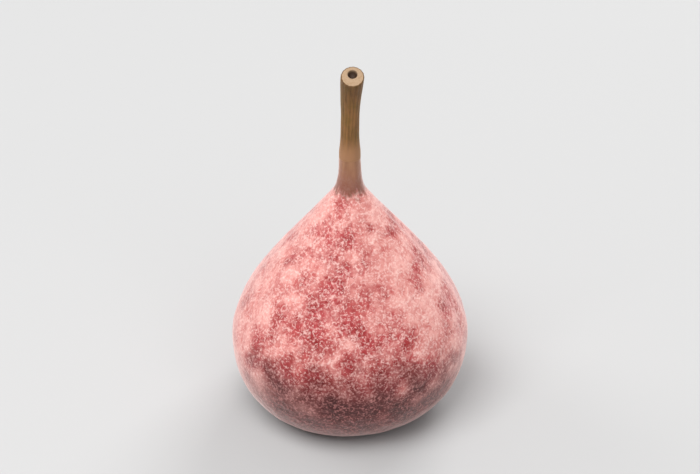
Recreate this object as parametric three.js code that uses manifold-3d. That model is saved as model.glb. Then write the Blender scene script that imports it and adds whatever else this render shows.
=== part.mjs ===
// A ripe fig, picked with its stalk and standing on its flattened base.
// Millimetres, +Z up. The origin is on the resting surface, under the middle of the fruit's box,
// and the side that faces a viewer looks towards -Y.
import * as THREE from "three";
import { mergeVertices } from "three/addons/utils/BufferGeometryUtils.js";
import Module from "manifold-3d";

// Driving dimensions of the fruit.
const FRUIT_DIAMETER = 46;
const WIDEST_HEIGHT = 16;
const SHOULDER_HEIGHT = 49; // where the shoulder runs out into the slim neck
const NECK_LENGTH = 7.5;
const NECK_FOOT_RADIUS = 2.9; // at the shoulder
const NECK_RADIUS = 2.05; // at the stalk
const FRUIT_HEIGHT = SHOULDER_HEIGHT + NECK_LENGTH;
const FOOT_RADIUS = 10.5; // outer edge of the flat that the fruit stands on
const EYE_RADIUS = 4.4; // hollow in the middle of the base
const EYE_DEPTH = 2.4;
const EYE_LIP = 0.6; // rounding between the hollow and the flat
const SEAT_RADIUS = 1.7; // dish in the top of the neck, where the stalk's foot sits
const SEAT_DEPTH = 0.6;

// How the fruit's outline bends, as shares of the belly's radius and of the height above or below it.
const UNDERSIDE_RUN = 0.56; // how far the underside runs out flat beyond the foot
const FLANK_DROP = 0.6; // how far the flank stays upright below the widest place
const FLANK_RISE = 0.31; // and above it
const SHOULDER_PULL = new THREE.Vector2(0.335, 0.765); // where the shoulder aims before the neck
const NECK_BEND = 0.3; // share of the neck over which it draws in

// Driving dimensions of the stalk.
const STEM_LENGTH = 18;
const STEM_RADIUS = 1.85; // at its slimmest
const STEM_FOOT_RADIUS = 2.2; // the joint with the neck is a little swollen
const STEM_FOOT_SHARE = 0.16; // share of the length that the swollen foot takes
const STEM_END_RADIUS = 2.3; // the cut end is swollen too
const STEM_END_SHARE = 0.5;
const STEM_SWAY = [-0.3, -0.1, 0.45]; // sideways, at each third of the length
const STEM_NOD = [-0.2, -0.7, -1.6]; // towards the viewer, at each third
const PITH_RADIUS = 0.95;
const PITH_DEPTH = 0.9;
const CUT_SLOPE = 0.42; // rise of the cut from its front edge to its back edge, per millimetre
const CUT_SHARE = 0.25; // share of the length over which the slope of the cut grows
const BRACT_COUNT = 3;
const BRACT_SIZE = new THREE.Vector3(0.35, 1.1, 0.85); // half thickness, half width, half height
const BRACT_SINK = 0.2; // how far a bract's middle lies under the foot's surface
const BRACT_TURN = 0.5; // turn of the first bract round the stalk

// Driving dimensions of the scales in the eye.
const SCALE_RINGS = [
  { count: 9, radius: 2.5, lean: 0.55 },
  { count: 6, radius: 1.45, lean: 0.35 },
  { count: 3, radius: 0.6, lean: 0.15 },
];
const SCALE_SIZE = new THREE.Vector3(1.15, 0.95, 0.42); // half length, half width, half thickness
const EYE_PAD_RADIUS = 3.7; // domed pad that the scales grow from
const EYE_PAD_HEIGHT = 0.9;
const EYE_PAD_EDGE = 0.2; // the pad's rim lies this far under the ring of scales
const EYE_PAD_DOME = 0.4;
const SCALE_STEP = 0.12; // each inner ring stands this much higher

// Pieces that touch keep this distance.
const GAP = 0.3;

// Finishes.
const SKIN = { color: 0xcf7f7d, roughness: 0.75, metalness: 0 };
const BARK = { color: 0x7a5c3a, roughness: 0.7, metalness: 0 };
const DRY_SCALE = { color: 0x8a4a40, roughness: 0.7, metalness: 0 };

// Facets round and along the forms.
const FRUIT_SIDES = 90;
const STEM_SIDES = 20;
const EYE_PAD_SIDES = 24;
const BELLY_STEPS = 11;
const SHOULDER_STEPS = 18;
const NECK_STEPS = 6;
const STEM_STEPS = 18;
const BRACT_FACETS = { round: 10, along: 8 };
const SCALE_FACETS = { round: 9, along: 6 };
const WELD_DISTANCE = 1e-4; // vertices nearer than this are one

const FULL_TURN = 2 * Math.PI;
const smoothstep = THREE.MathUtils.smoothstep;

// Waves round the fruit, each with an amount, a number of waves in one turn and a phase.
const wave = ({ amount, count, phase }, angle) => amount * Math.sin(count * angle + phase);
const waves = (list, angle) => list.reduce((sum, item) => sum + wave(item, angle), 0);

// The belly isn't quite round: its radius swells and shrinks by these shares.
const BELLY_WAVES = [
  { amount: 0.012, count: 2, phase: 0.7 },
  { amount: 0.009, count: 3, phase: 2.4 },
];

// Low ribs run from the neck down the shoulder and fade out on the belly.
const RIB_COUNT = 18;
const RIB_HEIGHT = 0.2;
const RIB_WANDER = [
  { amount: 0.1, count: 2, phase: 0.6 },
  { amount: 0.05, count: 5, phase: 2.1 },
];
const RIB_STRENGTH = { amount: 0.4, count: 3, phase: 1.2 };
const RIB_FADE_FROM = 8; // height where a rib begins to rise
const RIB_FADE_TO = 30; // height where it has its full size
const RIB_NECK_FADE = 6; // length below the neck over which ribs run out

// The neck leans a little off the fruit's axis.
const NECK_LEAN = new THREE.Vector2(0.1, 0.5);

function ribRise(angle, height) {
  const shoulder = smoothstep(height, RIB_FADE_FROM, RIB_FADE_TO);
  const neck = 1 - smoothstep(height, SHOULDER_HEIGHT - RIB_NECK_FADE, SHOULDER_HEIGHT);
  const strength = 1 + wave(RIB_STRENGTH, angle);
  const ridge = Math.cos(RIB_COUNT * (angle + waves(RIB_WANDER, angle)));
  return RIB_HEIGHT * shoulder * neck * strength * ridge;
}

// How far the fruit's axis has moved sideways at a height.
function axisShift(height) {
  return NECK_LEAN.clone().multiplyScalar(smoothstep(height, WIDEST_HEIGHT, FRUIT_HEIGHT));
}

// A closed geometry with one vertex at each place, ready for a solid.
function welded(geometry) {
  const bare = geometry.clone();
  bare.deleteAttribute("normal");
  bare.deleteAttribute("uv");
  return mergeVertices(bare, WELD_DISTANCE);
}

// A profile of (radius, height) points turned about the Z axis.
function turned(profile, sides) {
  return new THREE.LatheGeometry(profile, sides).rotateX(Math.PI / 2);
}

// Moves every vertex of a geometry by a rule.
function reshaped(geometry, rule) {
  const place = geometry.getAttribute("position");
  const point = new THREE.Vector3();
  for (let i = 0; i < place.count; i++) {
    rule(point.fromBufferAttribute(place, i));
    place.setXYZ(i, point.x, point.y, point.z);
  }
  return geometry;
}

const wasm = await Module();
wasm.setup();

function solidOf(geometry) {
  const closed = welded(geometry);
  return new wasm.Manifold(
    new wasm.Mesh({
      numProp: 3,
      vertProperties: new Float32Array(closed.getAttribute("position").array),
      triVerts: new Uint32Array(closed.index.array),
    }),
  );
}

function geometryOf(solid) {
  const mesh = solid.getMesh();
  const geometry = new THREE.BufferGeometry();
  geometry.setAttribute("position", new THREE.BufferAttribute(mesh.vertProperties, 3));
  geometry.setIndex(new THREE.BufferAttribute(mesh.triVerts, 1));
  return geometry;
}

const joined = (geometries) =>
  geometryOf(geometries.map(solidOf).reduce((body, next) => body.add(next)));

// Half outline of the fruit: eye hollow, flat foot, round belly, sloping shoulder, slim neck and seat.
function fruitOutline() {
  const radius = FRUIT_DIAMETER / 2;
  const rise = SHOULDER_HEIGHT - WIDEST_HEIGHT;
  const widest = new THREE.Vector2(radius, WIDEST_HEIGHT);
  const pull = new THREE.Vector2(SHOULDER_PULL.x * radius, WIDEST_HEIGHT + SHOULDER_PULL.y * rise);
  const neckFoot = new THREE.Vector2(NECK_FOOT_RADIUS, SHOULDER_HEIGHT);
  const neckTop = new THREE.Vector2(NECK_RADIUS, FRUIT_HEIGHT);
  const belly = new THREE.CubicBezierCurve(
    new THREE.Vector2(FOOT_RADIUS, 0),
    new THREE.Vector2(FOOT_RADIUS + UNDERSIDE_RUN * (radius - FOOT_RADIUS), 0),
    new THREE.Vector2(radius, (1 - FLANK_DROP) * WIDEST_HEIGHT),
    widest,
  );
  const shoulder = new THREE.CubicBezierCurve(
    widest,
    new THREE.Vector2(radius, WIDEST_HEIGHT + FLANK_RISE * rise),
    pull,
    neckFoot,
  );
  const neck = new THREE.QuadraticBezierCurve(
    neckFoot,
    new THREE.Vector2(NECK_RADIUS, SHOULDER_HEIGHT + NECK_BEND * NECK_LENGTH),
    neckTop,
  );
  return [
    new THREE.Vector2(0, EYE_DEPTH),
    new THREE.Vector2(EYE_RADIUS - GAP, EYE_DEPTH),
    new THREE.Vector2(EYE_RADIUS, EYE_LIP),
    new THREE.Vector2(EYE_RADIUS + EYE_LIP, 0),
    ...belly.getPoints(BELLY_STEPS),
    ...shoulder.getPoints(SHOULDER_STEPS).slice(1),
    ...neck.getPoints(NECK_STEPS).slice(1),
    new THREE.Vector2(SEAT_RADIUS, FRUIT_HEIGHT),
    new THREE.Vector2(0, FRUIT_HEIGHT - SEAT_DEPTH),
  ];
}

// The fruit's own unevenness: an oval belly, ribs on the shoulder and a leaning neck.
function fruitGeometry() {
  return reshaped(turned(fruitOutline(), FRUIT_SIDES), (point) => {
    const radius = Math.hypot(point.x, point.y);
    const angle = Math.atan2(point.y, point.x);
    const body = smoothstep(radius, NECK_FOOT_RADIUS, FOOT_RADIUS);
    const grown = radius * (1 + body * waves(BELLY_WAVES, angle)) + body * ribRise(angle, point.z);
    const shift = axisShift(point.z);
    point.x = grown * Math.cos(angle) + shift.x;
    point.y = grown * Math.sin(angle) + shift.y;
  });
}

// The stalk's centreline, from the seat in the neck to the cut end.
const stemLine = new THREE.CatmullRomCurve3([
  new THREE.Vector3(0, 0, 0),
  ...STEM_SWAY.map((sway, third) =>
    new THREE.Vector3(sway, STEM_NOD[third], ((third + 1) / STEM_SWAY.length) * STEM_LENGTH),
  ),
]);

// Radius of the stalk at a share of its length: a swollen foot, a slim middle and a thicker cut end.
function stemRadius(share) {
  const foot = (STEM_FOOT_RADIUS - STEM_RADIUS) * (1 - smoothstep(share, 0, STEM_FOOT_SHARE));
  const end = (STEM_END_RADIUS - STEM_RADIUS) * smoothstep(share, 1 - STEM_END_SHARE, 1);
  return STEM_RADIUS + foot + end;
}

// A straight stalk is turned, then bent along its centreline and cut at a slope.
function stalkGeometry() {
  const side = Array.from({ length: STEM_STEPS + 1 }, (_, step) => {
    const share = step / STEM_STEPS;
    return new THREE.Vector2(stemRadius(share), GAP + share * (STEM_LENGTH - GAP));
  });
  const outline = [
    new THREE.Vector2(0, GAP - SEAT_DEPTH),
    new THREE.Vector2(SEAT_RADIUS, GAP),
    ...side,
    new THREE.Vector2(PITH_RADIUS, STEM_LENGTH),
    new THREE.Vector2(PITH_RADIUS / 2, STEM_LENGTH - PITH_DEPTH),
    new THREE.Vector2(0, STEM_LENGTH - PITH_DEPTH),
  ];
  return reshaped(turned(outline, STEM_SIDES), (point) => {
    const share = THREE.MathUtils.clamp(point.z / STEM_LENGTH, 0, 1);
    const centre = stemLine.getPoint(share);
    point.z += point.y * CUT_SLOPE * smoothstep(share, 1 - CUT_SHARE, 1);
    point.x += centre.x;
    point.y += centre.y;
  });
}

// Small bracts lie round the stalk's foot.
function bractGeometry(index) {
  const bract = new THREE.SphereGeometry(1, BRACT_FACETS.round, BRACT_FACETS.along);
  bract.scale(BRACT_SIZE.x, BRACT_SIZE.y, BRACT_SIZE.z);
  bract.translate(STEM_FOOT_RADIUS - BRACT_SINK, 0, GAP + BRACT_SIZE.z);
  return bract.rotateZ((index / BRACT_COUNT) * FULL_TURN + BRACT_TURN);
}

function stemGeometry() {
  const bracts = Array.from({ length: BRACT_COUNT }, (_, index) => bractGeometry(index));
  return joined([stalkGeometry(), ...bracts]);
}

// One scale of the eye: a flattened bead that leans in over the middle of the eye.
function scaleGeometry(ring, index, turn) {
  const scale = new THREE.SphereGeometry(1, SCALE_FACETS.round, SCALE_FACETS.along);
  scale.scale(SCALE_SIZE.x, SCALE_SIZE.y, SCALE_SIZE.z);
  scale.rotateY(ring.lean);
  scale.translate(ring.radius, 0, 0);
  return scale.rotateZ(((index + turn) / ring.count) * FULL_TURN);
}

// The eye is made facing up. Its mesh is turned over and set into the base.
function eyeGeometry() {
  const pad = turned(
    [
      new THREE.Vector2(0, -EYE_PAD_HEIGHT),
      new THREE.Vector2(EYE_PAD_RADIUS, -EYE_PAD_HEIGHT),
      new THREE.Vector2(EYE_PAD_RADIUS, -EYE_PAD_EDGE),
      new THREE.Vector2(EYE_PAD_RADIUS / 2, EYE_PAD_DOME / 2),
      new THREE.Vector2(0, EYE_PAD_DOME),
    ],
    EYE_PAD_SIDES,
  );
  const scales = SCALE_RINGS.flatMap((ring, level) =>
    Array.from({ length: ring.count }, (_, index) =>
      scaleGeometry(ring, index, level / SCALE_RINGS.length).translate(0, 0, SCALE_STEP * level),
    ),
  );
  return joined([pad, ...scales]);
}

function named(name, geometry, finish) {
  const mesh = new THREE.Mesh(geometry, new THREE.MeshStandardMaterial(finish));
  mesh.name = name;
  return mesh;
}

const fruit = named("fruit", fruitGeometry(), SKIN);

const stem = named("stem", stemGeometry(), BARK);
stem.position.set(NECK_LEAN.x, NECK_LEAN.y, FRUIT_HEIGHT);

const eye = named("eye_scales", eyeGeometry(), DRY_SCALE);
eye.rotation.x = Math.PI;
eye.position.z = EYE_DEPTH - GAP - EYE_PAD_HEIGHT;

// The whole fig stands with the middle of its box over the origin.
const fig = new THREE.Group();
fig.add(fruit, stem, eye);
const middle = new THREE.Box3().setFromObject(fruit).getCenter(new THREE.Vector3());
fig.children.forEach((piece) => piece.position.sub(new THREE.Vector3(middle.x, middle.y, 0)));

export default fig;
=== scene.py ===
"""A ripe fig with its stalk: the fine surfaces and finishes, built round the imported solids."""
import math

import bmesh
import bpy
import numpy as np
from bpy.props import FloatProperty, FloatVectorProperty, IntProperty, PointerProperty
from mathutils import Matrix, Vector, noise


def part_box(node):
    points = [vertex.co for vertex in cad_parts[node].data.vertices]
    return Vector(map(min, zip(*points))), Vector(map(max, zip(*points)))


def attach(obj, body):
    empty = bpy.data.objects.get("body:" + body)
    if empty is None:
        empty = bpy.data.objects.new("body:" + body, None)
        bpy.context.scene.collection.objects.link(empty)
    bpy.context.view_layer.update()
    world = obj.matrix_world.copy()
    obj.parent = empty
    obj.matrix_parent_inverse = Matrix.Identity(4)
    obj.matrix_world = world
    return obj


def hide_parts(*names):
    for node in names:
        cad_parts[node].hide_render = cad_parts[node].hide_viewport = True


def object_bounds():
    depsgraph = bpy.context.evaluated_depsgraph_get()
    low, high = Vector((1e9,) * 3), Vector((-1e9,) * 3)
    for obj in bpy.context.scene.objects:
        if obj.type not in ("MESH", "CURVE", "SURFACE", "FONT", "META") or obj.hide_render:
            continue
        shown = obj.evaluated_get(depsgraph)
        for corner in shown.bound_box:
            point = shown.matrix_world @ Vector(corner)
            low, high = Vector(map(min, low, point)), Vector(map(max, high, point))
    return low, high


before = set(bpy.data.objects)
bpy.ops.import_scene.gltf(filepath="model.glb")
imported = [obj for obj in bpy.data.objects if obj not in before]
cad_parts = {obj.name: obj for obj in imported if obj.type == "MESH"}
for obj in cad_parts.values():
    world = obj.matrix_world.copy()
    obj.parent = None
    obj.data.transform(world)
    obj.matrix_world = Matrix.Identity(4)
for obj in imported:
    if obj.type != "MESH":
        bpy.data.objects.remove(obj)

bl_info = {
    "name": "Ripe fig",
    "version": (1, 0, 0),
    "blender": (4, 5, 0),
    "location": "3D View > Sidebar > Fig",
    "description": "Makes a ripe fig with a frosted skin, a woody stalk and a scaly eye",
    "category": "Add Mesh",
}

CAD_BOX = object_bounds()
FRUIT_LOW, FRUIT_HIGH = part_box("fruit")
EYE_LOW, EYE_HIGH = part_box("eye_scales")

MM = 0.001  # one millimetre in Blender's metres
FULL_TURN = 2 * math.pi


def linear(hex_colour):
    """Linear RGB from an sRGB hex colour."""
    parts = [int(hex_colour[i : i + 2], 16) / 255 for i in (1, 3, 5)]
    return tuple(c / 12.92 if c <= 0.04045 else ((c + 0.055) / 1.055) ** 2.4 for c in parts)


def opaque(colour):
    """The same colour with a full alpha, as a shader socket takes it."""
    return (*colour, 1.0)


# Sizes and colours that a user would change.


def length(name, description, millimetres):
    """A property that holds a length, given in millimetres."""
    return FloatProperty(
        name=name, description=description, default=millimetres * MM, min=0, unit="LENGTH", precision=5
    )


def tint(name, description, hex_colour):
    """A property that holds a colour, given as sRGB hex."""
    return FloatVectorProperty(
        name=name, description=description, default=linear(hex_colour), min=0, max=1, subtype="COLOR"
    )


class FigFruitSettings(bpy.types.PropertyGroup):
    """The fleshy body."""

    widest_height: length("Widest height", "Height of the belly's widest place", 16)
    neck_length: length("Neck length", "Slim neck between the shoulder and the stalk", 7.5)
    neck_radius: length("Neck radius", "Radius of the neck at the stalk", 2.05)
    foot_radius: length("Foot radius", "Outer edge of the flat that the fruit stands on", 10.5)
    eye_radius: length("Eye radius", "Radius of the hollow in the middle of the base", 4.4)
    eye_depth: length("Eye depth", "Depth of that hollow", 2.4)
    rib_height: length("Rib height", "How far the ribs on the shoulder rise", 0.08)
    frost_relief: length("Frost relief", "How far the bloom stands out of the skin", 0.12)
    frost_size: length("Frost size", "Spacing of the curls in the bloom", 1.6)
    ball_cuts: IntProperty(
        name="Mesh cuts", description="Cuts along each side of the mesh", default=125, min=8
    )
    rose: tint("Rose", "Skin where it is palest", "#cb6863")
    crimson: tint("Crimson", "Skin where it has coloured most", "#b54144")
    # Plum skin low on the belly: partly the skin's own colour, partly painted shade.
    plum_and_shade: tint("Plum", "Skin low on the belly", "#3a0307")
    bloom: tint("Bloom", "Waxy bloom on the skin", "#f6b9b0")
    # Dusky bloom low on the belly: partly its own colour, partly painted shade.
    dusk_and_shade: tint("Dusky bloom", "Bloom low on the belly", "#5a0c0e")
    thread: tint("Thread", "Curled threads of the bloom", "#ffdcd4")
    # Dull threads low on the belly: partly their own colour, partly painted shade.
    dull_thread_and_shade: tint("Dull thread", "Threads low on the belly", "#c87a76")
    mottle: tint("Mottle", "Shade of the dull patches", "#c4686c")
    mauve: tint("Mauve", "Skin of the neck", "#a56f57")
    crease: tint("Crease", "Skin in the crease round the neck's foot", "#6b3526")
    woody: tint("Woody", "Skin at the top of the neck, where it turns to bark", "#a67b58")
    down: tint("Down", "Pale edge that the fine hairs of the skin give", "#f8deda")


class FigStalkSettings(bpy.types.PropertyGroup):
    """The woody stalk."""

    middle_radius: length("Middle radius", "Radius where the stalk is slimmest", 1.75)
    foot_radius: length("Foot radius", "Radius at the joint with the neck", 2.08)
    end_radius: length("End radius", "Radius of the swollen cut end", 2.2)
    pith_radius: length("Pith radius", "Radius of the hollow in the cut end", 0.95)
    pith_depth: length("Pith depth", "Depth of that hollow", 0.9)
    bark: tint("Bark", "Bark of the stalk", "#8c6235")
    dark_bark: tint("Dark bark", "Furrows of the bark", "#4a3217")
    olive: tint("Olive", "Green tinge of the bark", "#7c5b29")
    mauve: tint("Mauve", "Foot of the stalk, coloured as the neck", "#a87a58")
    cut_wood: tint("Cut wood", "Fresh wood of the cut end", "#b39678")
    pith: tint("Pith", "Brown pith in the cut end", "#3f2a1c")
    down: tint("Down", "Pale edge that the fine hairs of the bark give", "#ecd2b0")


class FigEyeSettings(bpy.types.PropertyGroup):
    """The scales that close the eye."""

    scale_length: length("Scale length", "Length of one scale", 2.3)
    scale_width: length("Scale width", "Width of one scale", 1.9)
    scale_thickness: length("Scale thickness", "Thickness of one scale", 0.75)
    scale_brown: tint("Scale brown", "Dry scales", "#6e342d")
    scale_edge: tint("Scale edge", "Paler edges of the scales", "#b0735f")


class FigStageSettings(bpy.types.PropertyGroup):
    """The floor, the lights and the camera."""

    floor_size: length("Floor size", "Width of the floor", 8000)
    camera_distance: length("Camera distance", "From the camera to the fig", 630)
    camera_height: FloatProperty(
        name="Camera elevation",
        description="How far the camera looks down",
        default=math.radians(33.5),
        subtype="ANGLE",
    )
    view_height: length("View height", "Height of what the picture shows, at the fig", 92)
    floor: tint("Floor", "Plain pale floor", "#c3c3c3")


# Forms.


def smooth_rise(value, low, high):
    """0 below low, 1 above high, and a smooth rise between them."""
    share = np.clip((value - low) / (high - low), 0, 1)
    return share * share * (3 - 2 * share)


def bezier(handles, steps):
    """Points along a Bezier curve with any number of handles."""
    share = np.linspace(0, 1, steps)[:, None]
    points = np.array(handles, float)[:, None]
    while len(points) > 1:
        points = (1 - share) * points[:-1] + share * points[1:]
    return points[0]


def waves(angle, *terms):
    """A sum of waves round a turn, each with an amount, a number of waves and a phase."""
    return sum(amount * np.sin(count * angle + phase) for amount, count, phase in terms)


def grain(points, size, seed=0.0):
    """Smooth noise with features of a size in metres, with a mean of 0 and a spread of 1."""
    shift = Vector((seed, 2 * seed, 3 * seed))
    values = np.array([noise.noise(Vector(p) + shift) for p in points / size])
    return (values - values.mean()) / values.std()


def quad_ball(cuts):
    """Points and faces of a ball of radius one, made of even squares with no poles."""
    ball = bmesh.new()
    bmesh.ops.create_cube(ball, size=2)
    bmesh.ops.subdivide_edges(ball, edges=ball.edges[:], cuts=cuts, use_grid_fill=True)
    points = np.tan(np.array([v.co for v in ball.verts]) * math.pi / 4)
    faces = [[v.index for v in face.verts] for face in ball.faces]
    ball.free()
    return points / np.linalg.norm(points, axis=1)[:, None], faces


def turned(outline, columns):
    """Points and faces of a half outline turned about Z. Its ends lie on the axis."""
    rings = outline[1:-1]
    angle = np.arange(columns) * FULL_TURN / columns
    radius = rings[:, :1]
    height = np.broadcast_to(rings[:, 1:], (len(rings), columns))
    grid = np.stack([radius * np.cos(angle), radius * np.sin(angle), height], axis=2)
    points = np.concatenate([[[0, 0, outline[0, 1]]], grid.reshape(-1, 3), [[0, 0, outline[-1, 1]]]])
    last = len(points) - 1
    faces = []
    for column in range(columns):
        after = (column + 1) % columns
        faces.append([0, 1 + after, 1 + column])
        for ring in range(len(rings) - 1):
            low, high = 1 + ring * columns, 1 + (ring + 1) * columns
            faces.append([low + column, low + after, high + after, high + column])
        top = 1 + (len(rings) - 1) * columns
        faces.append([top + column, top + after, last])
    return points, faces


def joined(shapes):
    """Several shapes of points and faces as one."""
    points, faces = [], []
    for more_points, more_faces in shapes:
        start = sum(len(p) for p in points)
        points.append(more_points)
        faces.extend([[start + i for i in face] for face in more_faces])
    return np.concatenate(points), faces


def make_piece(name, points, faces, material):
    """A smooth mesh object in the scene."""
    mesh = bpy.data.meshes.new(name)
    mesh.from_pydata(points.tolist(), [], faces)
    mesh.shade_smooth()
    mesh.materials.append(material)
    piece = bpy.data.objects.new(name, mesh)
    bpy.context.scene.collection.objects.link(piece)
    return piece


def push_out(piece, height):
    """Moves each point of a piece along its normal."""
    mesh = piece.data
    places = np.zeros(len(mesh.vertices) * 3)
    normals = np.zeros(len(mesh.vertices) * 3, np.float32)
    mesh.vertices.foreach_get("co", places)
    mesh.vertex_normals.foreach_get("vector", normals)
    mesh.vertices.foreach_set("co", places + normals * np.repeat(height, 3))
    mesh.update()


def mark(piece, name, values):
    """Stores a number for each point of a piece, for its material to read."""
    attribute = piece.data.attributes.new(name, "FLOAT", "POINT")
    attribute.data.foreach_set("value", np.asarray(values, np.float32))


def settle(piece, node):
    """The piece stands for a solid and moves with it."""
    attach(piece, "root")
    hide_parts(node)


# The fruit's outline, as shares of the belly's radius and of the height above or below it.
UNDERSIDE_RUN = 0.56  # how far the underside runs out flat beyond the foot
FLANK_DROP = 0.6  # how far the flank stays upright below the widest place
FLANK_RISE = 0.31  # and above it
SHOULDER_PULL = (0.335, 0.765)  # where the shoulder aims before the neck
NECK_BEND = 0.3  # share of the neck over which it draws in
NECK_FOOT_RADIUS = 2.9 * MM
EYE_LIP = 0.6 * MM  # rounding between the hollow and the flat
SEAT_DEPTH = 0.6 * MM  # dish in the top of the neck
CURVE_STEPS = 200

# The fruit's unevenness. A wave has an amount, a number round the fruit and a phase.
BELLY_WAVES = ((0.012, 2, 0.7), (0.009, 3, 2.4))
RIB_COUNT = 18
RIB_WANDER = ((0.1, 2, 0.6), (0.05, 5, 2.1))
RIB_STRENGTH = (0.4, 3, 1.2)
RIB_FADE = (8 * MM, 30 * MM)  # heights where a rib begins to rise and has its full size
RIB_NECK_FADE = 6 * MM  # length below the neck over which ribs run out
NECK_LEAN = (0.1 * MM, 0.5 * MM)  # sideways and away from the viewer


def fruit_outline(fruit):
    """Half outline of the fruit from the middle of its eye to the middle of the seat on its neck."""
    radius = (FRUIT_HIGH.x - FRUIT_LOW.x) / 2
    top = FRUIT_HIGH.z
    shoulder_top = top - fruit.neck_length
    widest = fruit.widest_height
    rise = shoulder_top - widest
    run = fruit.foot_radius + UNDERSIDE_RUN * (radius - fruit.foot_radius)
    neck_foot = (NECK_FOOT_RADIUS, shoulder_top)
    eye = [
        (0, fruit.eye_depth),
        (fruit.eye_radius - EYE_LIP / 2, fruit.eye_depth),
        (fruit.eye_radius, EYE_LIP),
        (fruit.eye_radius + EYE_LIP, 0),
    ]
    belly = bezier(
        [
            (fruit.foot_radius, 0),
            (run, 0),
            (radius, (1 - FLANK_DROP) * widest),
            (radius, widest),
        ],
        CURVE_STEPS,
    )
    shoulder = bezier(
        [
            (radius, widest),
            (radius, widest + FLANK_RISE * rise),
            (SHOULDER_PULL[0] * radius, widest + SHOULDER_PULL[1] * rise),
            neck_foot,
        ],
        CURVE_STEPS,
    )
    neck = bezier(
        [
            neck_foot,
            (fruit.neck_radius, shoulder_top + NECK_BEND * fruit.neck_length),
            (fruit.neck_radius, top),
        ],
        CURVE_STEPS,
    )
    return np.concatenate([eye, belly, shoulder[1:], neck[1:], [(0, top - SEAT_DEPTH)]])


def rib_rise(fruit, angle, height):
    """How far the ribs stand out at an angle round the fruit and a height."""
    neck = FRUIT_HIGH.z - fruit.neck_length
    fade = smooth_rise(height, *RIB_FADE) * (1 - smooth_rise(height, neck - RIB_NECK_FADE, neck))
    ridge = np.cos(RIB_COUNT * (angle + waves(angle, *RIB_WANDER)))
    return fruit.rib_height * fade * (1 + waves(angle, RIB_STRENGTH)) * ridge


def fruit_form(fruit):
    """The fruit's points and faces: a ball of even squares, spread over the outline and made uneven."""
    ball, faces = quad_ball(fruit.ball_cuts)
    outline = fruit_outline(fruit)
    steps = np.diff(outline, axis=0)
    bands = np.hypot(steps[:, 0], steps[:, 1]) * (outline[1:, 0] + outline[:-1, 0])
    covered = np.concatenate([[0], np.cumsum(bands)]) / bands.sum()
    share = (1 + ball[:, 2]) / 2  # share of a ball's surface that lies lower
    radius = np.interp(share, covered, outline[:, 0])
    height = np.interp(share, covered, outline[:, 1])
    angle = np.arctan2(ball[:, 1], ball[:, 0])
    body = smooth_rise(radius, NECK_FOOT_RADIUS, fruit.foot_radius)
    radius = radius * (1 + body * waves(angle, *BELLY_WAVES)) + body * rib_rise(fruit, angle, height)
    lean = smooth_rise(height, fruit.widest_height, FRUIT_HIGH.z)
    x = radius * np.cos(angle) + lean * NECK_LEAN[0]
    y = radius * np.sin(angle) + lean * NECK_LEAN[1]
    x = np.interp(x, (x.min(), x.max()), (FRUIT_LOW.x, FRUIT_HIGH.x))
    y = np.interp(y, (y.min(), y.max()), (FRUIT_LOW.y, FRUIT_HIGH.y))
    return np.stack([x, y, height], axis=1), faces


# Places where the skin is deeper in colour, or paler where the strength is below 0:
# angle from the front in degrees, height, spread and strength.
FLUSHES_AND_SHEEN = (
    (-18, 45 * MM, 4 * MM, 0.6),
    (14, 43 * MM, 3 * MM, 0.4),
    (-28, 33 * MM, 6 * MM, 0.45),
    (-8, 30 * MM, 5 * MM, 0.35),
    (-40, 27 * MM, 7 * MM, 0.5),
    (-26, 20 * MM, 5 * MM, 0.4),
    (20, 27 * MM, 6 * MM, 0.45),
    (38, 19 * MM, 6 * MM, 0.5),
    (120, 26 * MM, 12 * MM, 0.5),
    (160, 38 * MM, 6 * MM, 0.4),
    (205, 22 * MM, 11 * MM, 0.5),
    (260, 32 * MM, 8 * MM, 0.45),
    (-24, 38 * MM, 4 * MM, 0.35),
    (34, 46 * MM, 4 * MM, -0.4),
    (8, 36 * MM, 4 * MM, -0.2),
    # The pale places on both flanks are partly paler bloom and partly painted sheen, the pale edge of the
    # skin put into its colour.
    (60, 29 * MM, 12 * MM, -0.5),
    (-76, 27 * MM, 11 * MM, -0.5),
    (-62, 37 * MM, 8 * MM, -0.35),
    (47, 36 * MM, 5 * MM, -0.45),
    (-61, 17 * MM, 7 * MM, -0.5),
    (66, 15 * MM, 8 * MM, -0.2),
)
FLUSH_LEVEL = 0.45  # depth of the colour before clouds and places change it
FLUSH_CLOUDS = ((8 * MM, 0.14, 4.0), (4 * MM, 0.3, 7.0))  # size, strength and seed
RIPE_BAND = (19 * MM, 6 * MM, 0.25)  # height, spread and strength of the deeper colour round the belly
PALE_COLLAR = (43 * MM, 48 * MM, 0.6)  # heights between which the skin pales to the neck, and strength

# The bloom's thickness, from 0 to 1.
FROST_LEVEL = 0.77  # on pale skin, before its curls, grains and clouds
CURL_STRENGTH = 0.09
GRAIN_STRENGTH = 0.05
CLOUD_STRENGTH = 0.12
CLOUD_SPACING = 2.2  # spacing of the clouds, in curls
FLUSH_THINNING = 0.4  # how much thinner the bloom lies where the skin is fully flushed
FROST_MIDDLE = 0.5  # bloom of this thickness lies level with the solid
FROST_FOOT = 1.5 * MM  # height over which the bloom's relief grows from the floor
FROST_TOP = 1 * MM  # depth over which it ends under the stalk


def spot(distance, spread):
    """1 in the middle of a place, with a smooth fall to 0 round it."""
    return np.exp(-((distance / spread) ** 2))


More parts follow.
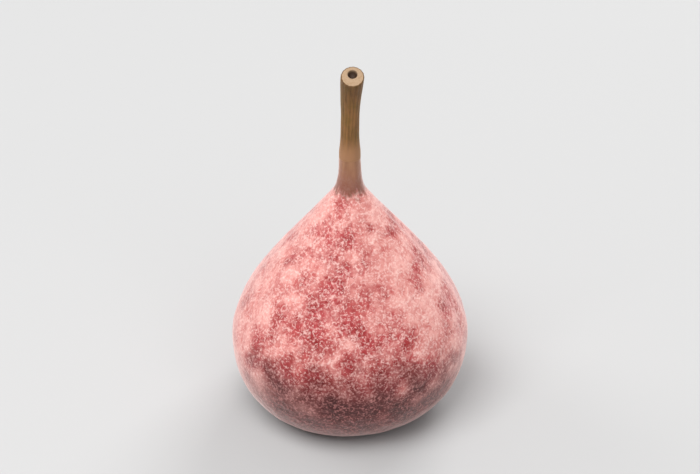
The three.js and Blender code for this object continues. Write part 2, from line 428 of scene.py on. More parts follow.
def flush_of(points):
    """How deeply the skin has coloured, from 0 to 1, with paler places on the flanks that are partly
    painted sheen.
    """
    angle = np.arctan2(points[:, 1], points[:, 0])
    radius = np.hypot(points[:, 0], points[:, 1])
    height = points[:, 2]
    deep = FLUSH_LEVEL
    for size, strength, seed in FLUSH_CLOUDS:
        deep = deep + strength * grain(points, size, seed)
    low, high, strength = PALE_COLLAR
    deep -= strength * smooth_rise(height, low, high)
    middle, spread, strength = RIPE_BAND
    deep += strength * spot(height - middle, spread)
    for degrees, middle, spread, strength in FLUSHES_AND_SHEEN:
        turn = np.mod(angle + math.pi / 2 - math.radians(degrees) + math.pi, FULL_TURN) - math.pi
        deep += strength * spot(np.hypot(turn * radius, height - middle), spread)
    return np.clip(deep, 0, 1)


def frost_of(fruit, points, flush):
    """How thickly the bloom lies: in curls, grains and clouds, thinner where the skin is flushed."""
    size = fruit.frost_size
    curls = -np.abs(grain(points, size, seed=1.0))
    curls = (curls - curls.mean()) / curls.std()
    grains = grain(points, size / 2, seed=2.0)
    clouds = grain(points, CLOUD_SPACING * size, seed=3.0)
    thick = FROST_LEVEL + CURL_STRENGTH * curls + GRAIN_STRENGTH * grains + CLOUD_STRENGTH * clouds
    return np.clip(thick - FLUSH_THINNING * flush, 0, 1)


class FIG_OT_make_fruit(bpy.types.Operator):
    """Make the fruit with its ribs, neck and frosted skin"""

    bl_idname = "fig.make_fruit"
    bl_label = "Make fruit"

    def execute(self, context):
        fruit = context.scene.fig_fruit
        points, faces = fruit_form(fruit)
        flush = flush_of(points)
        frost = frost_of(fruit, points, flush)
        piece = make_piece("fruit_skin", points, faces, fig_skin(fruit))
        mark(piece, "frost", frost)
        mark(piece, "flush", flush)
        height = points[:, 2]
        top = FRUIT_HIGH.z
        raised = smooth_rise(height, 0, FROST_FOOT) * (1 - smooth_rise(height, top - FROST_TOP, top))
        push_out(piece, fruit.frost_relief * (frost - FROST_MIDDLE) * raised)
        settle(piece, "fruit")
        return {"FINISHED"}


# The stalk's line.
STALK_LENGTH = 18 * MM
STALK_FOOT_SHARE = 0.3  # share of the length that the swollen foot takes
STALK_END_SHARE = 0.5  # and that the swollen end takes
STALK_SWAY = (0, 0.02 * MM, 0.15 * MM, 0.5 * MM)  # sideways, at each third of the length
STALK_NOD = (0, -0.2 * MM, -0.7 * MM, -1.6 * MM)  # towards the viewer, at each third
NECK_OVERLAP = 0.6 * MM  # the bark reaches this far down over the edge of the neck
NECK_EDGE_DEPTH = 0.01 * MM  # points of the neck this near to its top belong to its edge
STALK_ROWS = 220
STALK_COLUMNS = 144

# Its cut end.
CUT_SLOPE = 0.42  # rise of the cut towards its back edge, for each millimetre
CUT_SHARE = 0.25  # share of the length over which that slope grows
CUT_CROWN = 0.1 * MM  # the cut stands this far above the edge of the bark
CUT_ROWS = 12
CUT_EDGE = 0.3 * MM  # depth below the cut at which its pale wood begins
CUT_WOOD_SHARE = 0.93  # share of the end's radius that is pale wood
RIM_CROWN = 0.12 * MM  # height at which the cut's rounded edge aims
RIM_SHARE = 0.9  # share of the end's radius that lies inside that edge
RIM_ROWS = 6
PITH_SHIFT = 0.5 * MM  # the pith lies off the middle of the cut
PITH_TAPER = 0.8  # share of the pith's radius at which the wall of its hollow aims
PITH_EDGE = (0.85, 1.1)  # shares of the pith's radius between which it turns to wood

# Its bark. Wandering and lumps have a strength, a size and a stretch along the stalk.
BARK_START = 0.8  # share of the stalk's radius outside which the bark has relief
BARK_RELIEF = 0.05 * MM
STRIPE_COUNT = 17
STRIPE_STRENGTH = 0.5  # share of the relief that the furrows take
STRIPE_WANDER = (0.06, 3 * MM, 0.3)
STRIPE_START = 0.25  # share of the length over which furrows and lumps grow out of the smooth foot
FINE_STRIPES = (2.3, 0.6)  # number and depth of the finer furrows, beside the others
LUMPS = (0.25, 2.2 * MM, 0.5)
FURROW_SHADE = (0.5, 0.3)  # shade of level bark, and how much deeper a furrow is
BRACT_COUNT = 3
BRACT_TURN = 0.5  # turn of the first bract round the stalk
BRACT_HEIGHT = 1.9 * MM
BRACT_RISE = 0.06 * MM
BRACT_EDGE = 0.4  # softness of the bracts' edges


def stalk_outline(stalk):
    """Half outline of the stalk before it is bent: foot, side, cut end and pith hollow."""
    share = np.linspace(0, 1, STALK_ROWS)
    foot = (stalk.foot_radius - stalk.middle_radius) * (1 - smooth_rise(share, 0, STALK_FOOT_SHARE))
    end = (stalk.end_radius - stalk.middle_radius) * smooth_rise(share, 1 - STALK_END_SHARE, 1)
    height = share * (STALK_LENGTH + NECK_OVERLAP) - NECK_OVERLAP
    side = np.stack([stalk.middle_radius + foot + end, height], axis=1)
    rim_radius = RIM_SHARE * stalk.end_radius
    cut_height = STALK_LENGTH + CUT_CROWN
    rim = bezier(
        [side[-1], (stalk.end_radius, STALK_LENGTH + RIM_CROWN), (rim_radius, cut_height)], RIM_ROWS
    )
    cut_radius = np.linspace(rim_radius, stalk.pith_radius, CUT_ROWS)
    cut = np.stack([cut_radius, np.full(CUT_ROWS, cut_height)], axis=1)
    pith_floor = STALK_LENGTH - stalk.pith_depth
    hollow = bezier(
        [
            (stalk.pith_radius, cut_height),
            (PITH_TAPER * stalk.pith_radius, pith_floor),
            (0, pith_floor),
        ],
        CUT_ROWS,
    )
    return np.concatenate([[(0, -NECK_OVERLAP)], side, rim[1:], cut[1:], hollow[1:]])


def bark_rise(angle, points):
    """How far the bark stands out at each point of the straight stalk, and its furrows."""
    height = points[:, 2]
    grown = smooth_rise(height / STALK_LENGTH, 0, STRIPE_START)
    turn, size, stretch = STRIPE_WANDER
    wander = turn * grain(points * (1, 1, stretch), size, seed=5.0)
    fine_count, fine_depth = FINE_STRIPES
    furrows = np.cos(STRIPE_COUNT * (angle + wander))
    furrows = furrows + fine_depth * np.cos(fine_count * STRIPE_COUNT * (angle - wander))
    furrows = furrows * grown
    strength, size, stretch = LUMPS
    lumps = strength * grain(points * (1, 1, stretch), size, seed=6.0) * grown
    bract = (1 + np.cos(BRACT_COUNT * (angle - BRACT_TURN))) / 2
    level = height / BRACT_HEIGHT
    bract = smooth_rise(bract, level - BRACT_EDGE, level + BRACT_EDGE)
    bract = bract * smooth_rise(height, -NECK_OVERLAP, BRACT_HEIGHT)
    return BARK_RELIEF * (STRIPE_STRENGTH * furrows + lumps) + BRACT_RISE * bract, furrows


def stalk_form(stalk):
    """The stalk's points and faces, bent along its line, with each point's radius and furrow."""
    points, faces = turned(stalk_outline(stalk), STALK_COLUMNS)
    angle = np.arctan2(points[:, 1], points[:, 0])
    radius = np.hypot(points[:, 0], points[:, 1])
    share = np.clip(points[:, 2] / STALK_LENGTH, 0, 1)
    rise, furrows = bark_rise(angle, points)
    grown = radius + smooth_rise(radius, BARK_START * stalk.middle_radius, stalk.middle_radius) * rise
    thirds = np.linspace(0, 1, len(STALK_SWAY))
    sway, nod = (
        np.polyval(np.polyfit(thirds, line, len(thirds) - 1), share) for line in (STALK_SWAY, STALK_NOD)
    )
    cut = smooth_rise(share, 1 - CUT_SHARE, 1)
    inside = 1 - smooth_rise(radius, stalk.pith_radius, RIM_SHARE * stalk.end_radius)
    x = grown * np.cos(angle)
    y = grown * np.sin(angle) + PITH_SHIFT * cut * inside
    z = points[:, 2] + y * CUT_SLOPE * cut
    return np.stack([x + sway, y + nod, z], axis=1), faces, radius, furrows


def neck_top():
    """Middle of the neck's upper edge, where the stalk sits."""
    solid = np.array([v.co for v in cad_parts["fruit"].data.vertices])
    edge = solid[solid[:, 2] > FRUIT_HIGH.z - NECK_EDGE_DEPTH]
    return Vector(edge.mean(axis=0))


class FIG_OT_make_stalk(bpy.types.Operator):
    """Make the stalk with its furrowed bark, bracts and cut end"""

    bl_idname = "fig.make_stalk"
    bl_label = "Make stalk"

    def execute(self, context):
        stalk = context.scene.fig_stalk
        points, faces, radius, furrows = stalk_form(stalk)
        neck = neck_top()
        placed = points + np.array([neck.x, neck.y, FRUIT_HIGH.z])
        piece = make_piece("stalk_bark", placed, faces, fig_stalk(stalk))
        height = points[:, 2]
        mark(piece, "along", np.clip(height / STALK_LENGTH, 0, 1))
        level = height - points[:, 1] * CUT_SLOPE
        face = smooth_rise(level, STALK_LENGTH - CUT_EDGE, STALK_LENGTH)
        hollow = (radius < stalk.pith_radius) & (height > STALK_LENGTH / 2)
        mark(piece, "cut", np.maximum(face * (radius < CUT_WOOD_SHARE * stalk.end_radius), hollow))
        inner, outer = (share * stalk.pith_radius for share in PITH_EDGE)
        mark(piece, "pith", 1 - smooth_rise(radius, inner, outer))
        shade, deeper = FURROW_SHADE
        mark(piece, "furrow", np.clip(shade - deeper * furrows, 0, 1))
        settle(piece, "stem")
        return {"FINISHED"}


# Rings of scales in the eye: how many, how far out and how far they lean in.
SCALE_RINGS = ((9, 2.5 * MM, 0.55), (6, 1.45 * MM, 0.35), (3, 0.6 * MM, 0.15))
SCALE_STEP = 0.12 * MM  # each inner ring stands this much higher
SCALE_TAPER = 0.45  # how much narrower a scale is at its tip
SCALE_ARCH = 0.12 * MM  # how far its middle stands above its edges
SCALE_CUTS = 9
PAD_RADIUS = 3.7 * MM
PAD_DOME = 0.4 * MM  # how far the pad's middle stands above the scales' roots
PAD_EDGE = 0.2 * MM  # and how far its rim lies below them
PAD_HEIGHT = 0.9 * MM
PAD_COLUMNS = 64
PAD_ROWS = 12


def scale_form(eye, radius, lean, angle, lift):
    """One scale: a flat pointed bead that leans in over the middle of the eye."""
    points, faces = quad_ball(SCALE_CUTS)
    size = np.array([eye.scale_length, eye.scale_width, eye.scale_thickness]) / 2
    taper = 1 - SCALE_TAPER * smooth_rise(-points[:, 0], 0, 1)
    points = points * size
    points[:, 1] *= taper
    points[:, 2] += SCALE_ARCH * np.cos(points[:, 1] / size[1] * math.pi / 2)
    out = points[:, 0] * math.cos(lean) + points[:, 2] * math.sin(lean) + radius
    across = points[:, 1]
    x = out * math.cos(angle) - across * math.sin(angle)
    y = out * math.sin(angle) + across * math.cos(angle)
    z = points[:, 2] * math.cos(lean) - points[:, 0] * math.sin(lean) + lift
    return np.stack([x, y, z], axis=1), faces


def eye_form(eye):
    """The pad and its rings of scales, facing up."""
    pad = np.array([(0, -PAD_HEIGHT), (PAD_RADIUS, -PAD_HEIGHT), (PAD_RADIUS, -PAD_EDGE)])
    dome = bezier([(PAD_RADIUS, -PAD_EDGE), (PAD_RADIUS / 2, PAD_DOME), (0, PAD_DOME)], PAD_ROWS)
    shapes = [turned(np.concatenate([pad, dome[1:]]), PAD_COLUMNS)]
    for level, (count, radius, lean) in enumerate(SCALE_RINGS):
        for index in range(count):
            angle = (index + level / len(SCALE_RINGS)) / count * FULL_TURN
            shapes.append(scale_form(eye, radius, lean, angle, SCALE_STEP * level))
    return joined(shapes)


class FIG_OT_make_eye(bpy.types.Operator):
    """Make the scales that close the eye in the base"""

    bl_idname = "fig.make_eye"
    bl_label = "Make eye"

    def execute(self, context):
        eye = context.scene.fig_eye
        points, faces = eye_form(eye)
        middle = (EYE_LOW + EYE_HIGH) / 2
        down = points * np.array([1, -1, -1])
        placed = down + np.array([middle.x, middle.y, EYE_HIGH.z - PAD_HEIGHT])
        piece = make_piece("eye_scales_dry", placed, faces, fig_eye(eye))
        settle(piece, "eye_scales")
        return {"FINISHED"}


# Finishes.


def add(tree, kind, inputs, output=0, **settings):
    """Adds a shader node with its settings, its values and its links, and gives one of its outputs."""
    made = tree.nodes.new(kind)
    for name, value in settings.items():
        setattr(made, name, value)
    for name, value in inputs.items():
        if isinstance(value, bpy.types.NodeSocket):
            tree.links.new(value, made.inputs[name])
        else:
            made.inputs[name].default_value = value
    return made.outputs[output] if made.outputs else None


def new_material(name):
    """An empty material, and its node tree."""
    material = bpy.data.materials.new(name)
    material.use_nodes = True
    material.node_tree.nodes.clear()
    return material, material.node_tree


# Mix nodes take their share and two colours, and give their colour, at these sockets.
SHARE, FIRST, SECOND, MIXED = 0, 6, 7, 2

# A range holds the values at which a shade begins and is full, and then its most, if that isn't 1.
ROUGH_NOISE = {"Detail": 3.0, "Roughness": 0.6}
NOISE_SPAN = (0.3, 0.7)  # values that noise mostly keeps to

# Streaks along the neck and the stalk.
STREAK_SIZE = 0.7 * MM
STREAK_STRETCH = (1, 1, 0.12)

# Fig skin. The bloom's threads are drawn about twice their real width,
# or they would be too fine to show.
THREAD_SIZES = (1.5 * MM, 0.9 * MM)  # spacing of the curled threads of bloom
THREAD_FOLD = 0.5  # noise is folded at its middle, and the folds are the threads
THREAD_CREST = (0.44, 0.49)  # part of the folded noise that is a thread
THREAD_BREAKS = (0.42, 0.6, 0.6)  # fine grain breaks the threads up
GRAIN_SIZE = 0.45 * MM
GRAIN_COVER = 0.62  # how much the fine grain adds to the bloom
FLECK_SIZE = 0.7 * MM
FLECK_WARP = (0.8 * MM, 0.8 * MM, 0.8 * MM)  # how far noise pulls the flecks out of shape
FLECK_COVER = 0.16  # how much the flecks add to the bloom
DULL_FLECKS = (0.6, 1.0, 0.5)
MOTTLE_SIZE = 4.5 * MM
DULL_PATCHES = (0.56, 0.4, 0.5)
DULL_FLUSH = (0.2, 0.6)  # depths of colour at which the dull marks show least and in full
DULL_LEAST = 0.25
BLOOM_RANGE = (0.65, 1.55)  # sums of the bloom's textures that leave the skin bare and cover it
# The skin darkens low on the belly: partly its own colour, partly painted shade, which reaches higher at
# the front.
LOW_SHADE_RANGE = (21.8 * MM, 7.3 * MM, 0.95)  # heights between which the skin darkens downwards
LOW_SHADE_WANDER = 9 * MM  # noise moves those heights by up to this much
LOW_SHADE_PULL = -4.5 * MM  # flushed skin darkens this much higher up
LOW_SHADE_TILT = 0.25  # and so does the front, by this share of the depth
CREASE_RANGE = (0.6 * MM, 3 * MM, 0.85)  # heights from the neck's foot, moved by NECK_WANDER
NECK_RANGE = (4.5 * MM, 8.5 * MM, 0.85)
WOODY_RANGE = (0, 10.5 * MM, 0.7)  # over these its skin turns to bark
NECK_WANDER = 4 * MM
NECK_STREAKS = (0.35, 0.65)
SKIN_ROUGHNESS = (0.5, 0.8)  # of bare skin and of full bloom
BLOOM_BUMP = 0.1 * MM


def fig_skin(fruit):
    """Ripe fig skin, grown, under a waxy bloom: matte and mottled, with pale threads and a downy edge,
    and darker low on the belly, partly as painted shade.
    """
    material, tree = new_material("ripe_fig_skin_with_bloom")
    place = add(tree, "ShaderNodeTexCoord", {}, "Object")
    height = add(tree, "ShaderNodeSeparateXYZ", {"Vector": place}, "Z")
    depth = height.node.outputs["Y"]
    frost = add(tree, "ShaderNodeAttribute", {}, "Fac", attribute_name="frost")
    flush = add(tree, "ShaderNodeAttribute", {}, "Fac", attribute_name="flush")

    # Streaks of the neck, which also tear the edge of its colour into tongues.
    upright = add(tree, "ShaderNodeMapping", {"Vector": place, "Scale": STREAK_STRETCH})
    streak = {"Vector": upright, "Scale": 1 / STREAK_SIZE, "Detail": 2.0}
    streak = add(tree, "ShaderNodeTexNoise", streak, "Fac")
    tongued = {0: streak, 1: NECK_WANDER, 2: height}
    tongued = add(tree, "ShaderNodeMath", tongued, operation="MULTIPLY_ADD")
    streak = {"Value": streak, "From Min": NECK_STREAKS[0], "From Max": NECK_STREAKS[1]}
    streak = add(tree, "ShaderNodeMapRange", streak)
    neck_tone = {SHARE: streak, FIRST: opaque(fruit.crease), SECOND: opaque(fruit.mauve)}
    neck_tone = add(tree, "ShaderNodeMix", neck_tone, MIXED, data_type="RGBA")

    # Grains, flecks, threads and cloudy patches of the bloom.
    fine = {"Vector": place, "Scale": 1 / GRAIN_SIZE, **ROUGH_NOISE}
    fine = add(tree, "ShaderNodeTexNoise", fine, "Fac")
    ragged = {"Vector": place, "Scale": 1 / FLECK_SIZE, "Detail": 2.0}
    ragged = add(tree, "ShaderNodeTexNoise", ragged, "Color")
    ragged = {0: ragged, 1: FLECK_WARP, 2: place}
    ragged = add(tree, "ShaderNodeVectorMath", ragged, operation="MULTIPLY_ADD")
    fleck = add(tree, "ShaderNodeTexVoronoi", {"Vector": ragged, "Scale": 1 / FLECK_SIZE}, "Color")
    fleck = add(tree, "ShaderNodeSeparateColor", {"Color": fleck}, "Red")
    other_fleck = fleck.node.outputs["Green"]
    threads = []
    for size in THREAD_SIZES:
        fold = {"Vector": ragged, "Scale": 1 / size, "Detail": 1.0}
        fold = add(tree, "ShaderNodeTexNoise", fold, "Fac")
        fold = add(tree, "ShaderNodeMath", {0: fold, 1: THREAD_FOLD}, operation="PINGPONG")
        crest = {"Value": fold, "From Min": THREAD_CREST[0], "From Max": THREAD_CREST[1]}
        threads.append(add(tree, "ShaderNodeMapRange", crest))
    thread = add(tree, "ShaderNodeMath", {0: threads[0], 1: threads[1]}, operation="MAXIMUM")
    patchy = {"Vector": place, "Scale": 1 / MOTTLE_SIZE, **ROUGH_NOISE}
    patchy = add(tree, "ShaderNodeTexNoise", patchy, "Fac")
    shares = []
    for value, (low, high, most) in (
        (fine, THREAD_BREAKS),
        (other_fleck, DULL_FLECKS),
        (patchy, DULL_PATCHES),
    ):
        rise = {"Value": value, "From Min": low, "From Max": high, "To Max": most}
        shares.append(add(tree, "ShaderNodeMapRange", rise))
    broken, dull_fleck, dull_patch = shares
    thread = add(tree, "ShaderNodeMath", {0: thread, 1: broken}, operation="MULTIPLY")
    dull = {0: dull_patch, 1: dull_fleck}
    dull = add(tree, "ShaderNodeMath", dull, operation="ADD", use_clamp=True)
    shown = {"Value": flush, "From Min": DULL_FLUSH[0], "From Max": DULL_FLUSH[1], "To Min": DULL_LEAST}
    shown = add(tree, "ShaderNodeMapRange", shown)
    dull = add(tree, "ShaderNodeMath", {0: dull, 1: shown}, operation="MULTIPLY")
    cover = frost
    for texture, weight in ((fine, GRAIN_COVER), (fleck, FLECK_COVER)):
        cover = {0: texture, 1: weight, 2: cover}
        cover = add(tree, "ShaderNodeMath", cover, operation="MULTIPLY_ADD")
    cover = {"Value": cover, "From Min": BLOOM_RANGE[0], "From Max": BLOOM_RANGE[1]}
    cover = add(tree, "ShaderNodeMapRange", cover)

    # Zones of colour from the belly's foot to the top of the neck. The low zone is partly the skin's own
    # colour and partly painted shade, which reaches higher at the front.
    # Height that sets the painted shade low on the belly, moved by noise, by the flush and by the depth.
    wandering = height
    for texture, reach in ((patchy, LOW_SHADE_WANDER), (flush, LOW_SHADE_PULL), (depth, LOW_SHADE_TILT)):
        wandering = {0: texture, 1: reach, 2: wandering}
        wandering = add(tree, "ShaderNodeMath", wandering, operation="MULTIPLY_ADD")
    neck = FRUIT_HIGH.z - fruit.neck_length
    shares = []
    for value, foot, (low, high, most) in (
        (wandering, 0, LOW_SHADE_RANGE),
        (tongued, neck, CREASE_RANGE),
        (tongued, neck, NECK_RANGE),
        (tongued, neck, WOODY_RANGE),
    ):
        rise = {"Value": value, "From Min": foot + low, "From Max": foot + high, "To Max": most}
        shares.append(add(tree, "ShaderNodeMapRange", rise, interpolation_type="SMOOTHSTEP"))
    # low is the share of the darker skin low on the belly: partly own colour, partly painted shade.
    low, crease, slim, woody = shares

    # Colours, laid over each other from the skin outwards.
    tones = []
    # Bloom and threads turn darker low on the belly, partly as painted shade.
    for high_tone, low_shade_tone in ((fruit.bloom, fruit.dusk_and_shade), (fruit.thread, fruit.dull_thread_and_shade)):
        tone = {SHARE: low, FIRST: opaque(high_tone), SECOND: opaque(low_shade_tone)}
        tones.append(add(tree, "ShaderNodeMix", tone, MIXED, data_type="RGBA"))
    bloom, thread_tone = tones
    colour = opaque(fruit.rose)
    for share, tone, blend in (
        (flush, opaque(fruit.crimson), "MIX"),
        # Plum low on the belly: partly the skin's own colour, partly painted shade.
        (low, opaque(fruit.plum_and_shade), "MIX"),
        (cover, bloom, "MIX"),
        (dull, opaque(fruit.mottle), "MULTIPLY"),
        (thread, thread_tone, "MIX"),
        (crease, opaque(fruit.crease), "MIX"),
        (slim, neck_tone, "MIX"),
        (woody, opaque(fruit.woody), "MIX"),
    ):
        colour = {SHARE: share, FIRST: colour, SECOND: tone}
        colour = add(tree, "ShaderNodeMix", colour, MIXED, data_type="RGBA", blend_type=blend)
    roughness = {"Value": cover, "To Min": SKIN_ROUGHNESS[0], "To Max": SKIN_ROUGHNESS[1]}
    roughness = add(tree, "ShaderNodeMapRange", roughness)
    bump = add(tree, "ShaderNodeBump", {"Height": cover, "Strength": 0.5, "Distance": BLOOM_BUMP})
    shader = {
        "Base Color": colour,
        "Roughness": roughness,
        "IOR": 1.4,
        "Specular IOR Level": 0.35,
        "Sheen Weight": 1.0,
        "Sheen Roughness": 0.41,
        "Sheen Tint": opaque(fruit.down),
        "Normal": bump,
    }
    shader = add(tree, "ShaderNodeBsdfPrincipled", shader)
    add(tree, "ShaderNodeOutputMaterial", {"Surface": shader})
    return material


# Stalk.
BLOTCH_SIZE = 3 * MM
FIBRE_SIZE = 0.3 * MM
OLIVE_BLOTCHES = (0.4, 0.65, 1.0)
DARK_FURROWS = (0.45, 1.0, 0.5)
DARK_STREAKS = (0.55, 0.35, 0.4)
MAUVE_FOOT = (0.29, 0.0, 0.85)  # shares of the stalk's length
DARK_END = (0.5, 1.0, 0.55)  # shares of the stalk's length
CUT_FIBRES = (0.4, 0.8, 0.5)
BARK_ROUGHNESS = (0.5, 0.7)
BARK_BUMP = 0.08 * MM


def fig_stalk(stalk):
    """Green fig wood with thin bark, grown and cut with a knife: matte furrowed brown, a pale cut."""
    material, tree = new_material("green_fig_wood_with_bark")
    place = add(tree, "ShaderNodeTexCoord", {}, "Object")
    along, cut, pith, furrow = (
        add(tree, "ShaderNodeAttribute", {}, "Fac", attribute_name=name)
        for name in ("along", "cut", "pith", "furrow")
    )
    upright = add(tree, "ShaderNodeMapping", {"Vector": place, "Scale": STREAK_STRETCH})
    textures = []
    for where, size in ((place, BLOTCH_SIZE), (place, FIBRE_SIZE), (upright, STREAK_SIZE)):
        texture = {"Vector": where, "Scale": 1 / size, **ROUGH_NOISE}
        textures.append(add(tree, "ShaderNodeTexNoise", texture, "Fac"))
    blotch, fine, streak = textures
    layers = {"bark": opaque(stalk.bark), "wood": opaque(stalk.cut_wood)}
    for layer, value, (low, high, most), tone in (
        ("bark", blotch, OLIVE_BLOTCHES, stalk.olive),
        ("bark", furrow, DARK_FURROWS, stalk.dark_bark),
        ("bark", streak, DARK_STREAKS, stalk.dark_bark),
        ("bark", along, MAUVE_FOOT, stalk.mauve),
        ("bark", along, DARK_END, stalk.dark_bark),
        ("wood", fine, CUT_FIBRES, stalk.bark),
    ):
        share = {"Value": value, "From Min": low, "From Max": high, "To Max": most}
        share = add(tree, "ShaderNodeMapRange", share, interpolation_type="SMOOTHSTEP")
        colour = {SHARE: share, FIRST: layers[layer], SECOND: opaque(tone)}
        layers[layer] = add(tree, "ShaderNodeMix", colour, MIXED, data_type="RGBA")
    wood = {SHARE: pith, FIRST: layers["wood"], SECOND: opaque(stalk.pith)}
    wood = add(tree, "ShaderNodeMix", wood, MIXED, data_type="RGBA")
    colour = {SHARE: cut, FIRST: layers["bark"], SECOND: wood}
    colour = add(tree, "ShaderNodeMix", colour, MIXED, data_type="RGBA")
    roughness = {
        "Value": fine,
        "From Min": NOISE_SPAN[0],
        "From Max": NOISE_SPAN[1],
        "To Min": BARK_ROUGHNESS[0],
        "To Max": BARK_ROUGHNESS[1],
    }
    roughness = add(tree, "ShaderNodeMapRange", roughness)
    bump = add(tree, "ShaderNodeBump", {"Height": fine, "Strength": 0.4, "Distance": BARK_BUMP})
    shader = {
        "Base Color": colour,
        "Roughness": roughness,
        "IOR": 1.45,
        "Specular IOR Level": 0.4,
        "Sheen Weight": 0.35,
        "Sheen Roughness": 0.35,
        "Sheen Tint": opaque(stalk.down),
        "Normal": bump,
    }
    shader = add(tree, "ShaderNodeBsdfPrincipled", shader)
    add(tree, "ShaderNodeOutputMaterial", {"Surface": shader})
    return material


# Eye scales.
SCALE_FLECK = 0.5 * MM
PALE_TIPS = (1.2 * MM, 0.5 * MM, 0.8)  # heights
BROWN_FLECKS = (0.45, 0.75, 0.6)
SCALE_ROUGHNESS = (0.55, 0.8)
SCALE_BUMP = 0.1 * MM


def fig_eye(eye):
    """Papery fig scales, grown and dried at the tips: matte red brown with paler edges."""
    material, tree = new_material("dry_fig_eye_scales")
    place = add(tree, "ShaderNodeTexCoord", {}, "Object")
    height = add(tree, "ShaderNodeSeparateXYZ", {"Vector": place}, "Z")
    fine = {"Vector": place, "Scale": 1 / SCALE_FLECK, "Detail": 4.0, "Roughness": 0.6}
    fine = add(tree, "ShaderNodeTexNoise", fine, "Fac")
    colour = opaque(eye.scale_brown)
    for value, (low, high, most), tone in (
        (height, PALE_TIPS, eye.scale_edge),
        (fine, BROWN_FLECKS, eye.scale_brown),
    ):
        share = {"Value": value, "From Min": low, "From Max": high, "To Max": most}
        share = add(tree, "ShaderNodeMapRange", share)
        colour = {SHARE: share, FIRST: colour, SECOND: opaque(tone)}
        colour = add(tree, "ShaderNodeMix", colour, MIXED, data_type="RGBA")
    roughness = {
        "Value": fine,
        "From Min": NOISE_SPAN[0],
        "From Max": NOISE_SPAN[1],
        "To Min": SCALE_ROUGHNESS[0],
        "To Max": SCALE_ROUGHNESS[1],
    }
    roughness = add(tree, "ShaderNodeMapRange", roughness)
    bump = add(tree, "ShaderNodeBump", {"Height": fine, "Strength": 0.5, "Distance": SCALE_BUMP})
    shader = {"Base Color": colour, "Roughness": roughness, "IOR": 1.45, "Normal": bump}
    shader = add(tree, "ShaderNodeBsdfPrincipled", shader)
    add(tree, "ShaderNodeOutputMaterial", {"Surface": shader})
    return material


def pale_floor(stage):
    """Matte painted board, rolled: an even pale ground that takes a soft shadow."""
    material, tree = new_material("matte_painted_board")
    shader = {"Base Color": opaque(stage.floor), "Roughness": 0.8}
    shader = add(tree, "ShaderNodeBsdfPrincipled", shader)
    add(tree, "ShaderNodeOutputMaterial", {"Surface": shader})
    return material


# The stage. Soft lights have a name, a place and a width in metres, and a power in watts.
LIGHTS = (
    ("key_soft_box", (-0.28, -0.44, 0.9), 0.7, 8.5),
    ("back_soft_box", (0.35, 0.6, 0.5), 0.5, 4.0),
    ("side_soft_box", (-0.65, 0.3, 0.4), 0.4, 1.7),
    ("fill_soft_box", (0.4, -0.8, 0.65), 0.6, 1.8),
)
WORLD_STRENGTH = 0.35
SENSOR_WIDTH = 36.0  # millimetres
PICTURE_SHAPE = 700 / 474  # width over height of the picture


def aim(thing, target):
    """Turns a light or camera towards a point."""
    thing.rotation_euler = (Vector(target) - thing.location).to_track_quat("-Z", "Y").to_euler()


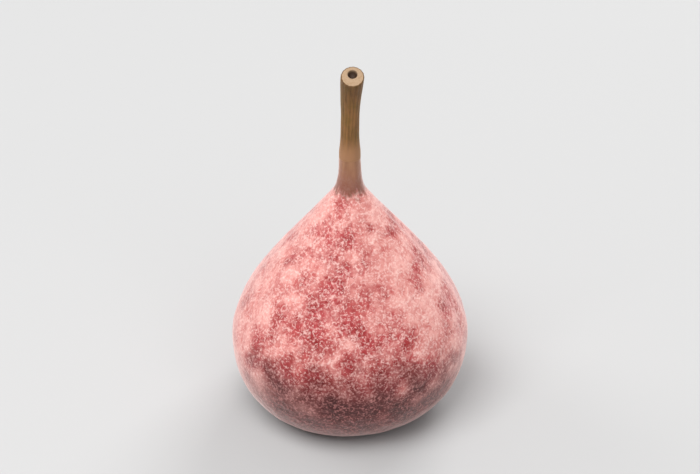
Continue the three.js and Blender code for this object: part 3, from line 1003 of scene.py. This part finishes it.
class FIG_OT_make_stage(bpy.types.Operator):
    """Make the floor, the soft lights and the camera"""

    bl_idname = "fig.make_stage"
    bl_label = "Make stage"

    def execute(self, context):
        stage = context.scene.fig_stage
        self.make_floor(stage)
        self.make_light(context)
        self.make_camera(context, stage)
        return {"FINISHED"}

    def make_floor(self, stage):
        """A plain floor under the fig."""
        half = stage.floor_size / 2
        corners = np.array([(-half, -half, 0), (half, -half, 0), (half, half, 0), (-half, half, 0)])
        floor = make_piece("floor", corners, [[0, 1, 2, 3]], pale_floor(stage))

    def make_light(self, context):
        """Soft lights round the fig and an even white world."""
        middle = (CAD_BOX[0] + CAD_BOX[1]) / 2
        for name, place, width, power in LIGHTS:
            light = bpy.data.lights.new(name, "AREA")
            light.size = width
            light.energy = power
            lamp = bpy.data.objects.new(name, light)
            lamp.location = place
            aim(lamp, middle)
            context.scene.collection.objects.link(lamp)
        world = bpy.data.worlds.new("studio")
        world.use_nodes = True
        background = world.node_tree.nodes["Background"]
        background.inputs["Color"].default_value = opaque((1, 1, 1))
        background.inputs["Strength"].default_value = WORLD_STRENGTH
        context.scene.world = world
        context.scene.view_settings.view_transform = "Standard"

    def make_camera(self, context, stage):
        """A camera that looks down on the fig."""
        middle = (CAD_BOX[0] + CAD_BOX[1]) / 2
        down = stage.camera_height
        camera = bpy.data.objects.new("camera", bpy.data.cameras.new("camera"))
        camera.location = middle + stage.camera_distance * Vector((0, -math.cos(down), math.sin(down)))
        aim(camera, middle)
        camera.data.sensor_width = SENSOR_WIDTH
        camera.data.lens = SENSOR_WIDTH * stage.camera_distance / (stage.view_height * PICTURE_SHAPE)
        context.scene.collection.objects.link(camera)
        bpy.context.scene.camera = camera


class FIG_PT_sidebar(bpy.types.Panel):
    """Settings and buttons for the fig"""

    bl_idname = "FIG_PT_sidebar"
    bl_label = "Fig"
    bl_space_type = "VIEW_3D"
    bl_region_type = "UI"
    bl_category = "Fig"

    def draw(self, context):
        for group, operator in SECTIONS:
            settings = getattr(context.scene, group)
            box = self.layout.box()
            for name in settings.__annotations__:
                box.prop(settings, name)
            box.operator(operator.bl_idname)


SECTIONS = (
    ("fig_fruit", FIG_OT_make_fruit),
    ("fig_stalk", FIG_OT_make_stalk),
    ("fig_eye", FIG_OT_make_eye),
    ("fig_stage", FIG_OT_make_stage),
)
SETTINGS = {
    "fig_fruit": FigFruitSettings,
    "fig_stalk": FigStalkSettings,
    "fig_eye": FigEyeSettings,
    "fig_stage": FigStageSettings,
}
CLASSES = (*SETTINGS.values(), *(operator for _, operator in SECTIONS), FIG_PT_sidebar)


def register():
    for made in CLASSES:
        bpy.utils.register_class(made)
    for group, settings in SETTINGS.items():
        setattr(bpy.types.Scene, group, PointerProperty(type=settings))


def unregister():
    for group in SETTINGS:
        delattr(bpy.types.Scene, group)
    for made in reversed(CLASSES):
        bpy.utils.unregister_class(made)


def main():
    """Makes the stage and the fig."""
    register()
    bpy.ops.fig.make_stage()
    bpy.ops.fig.make_fruit()
    bpy.ops.fig.make_stalk()
    bpy.ops.fig.make_eye()


if __name__ == "__main__":
    main()
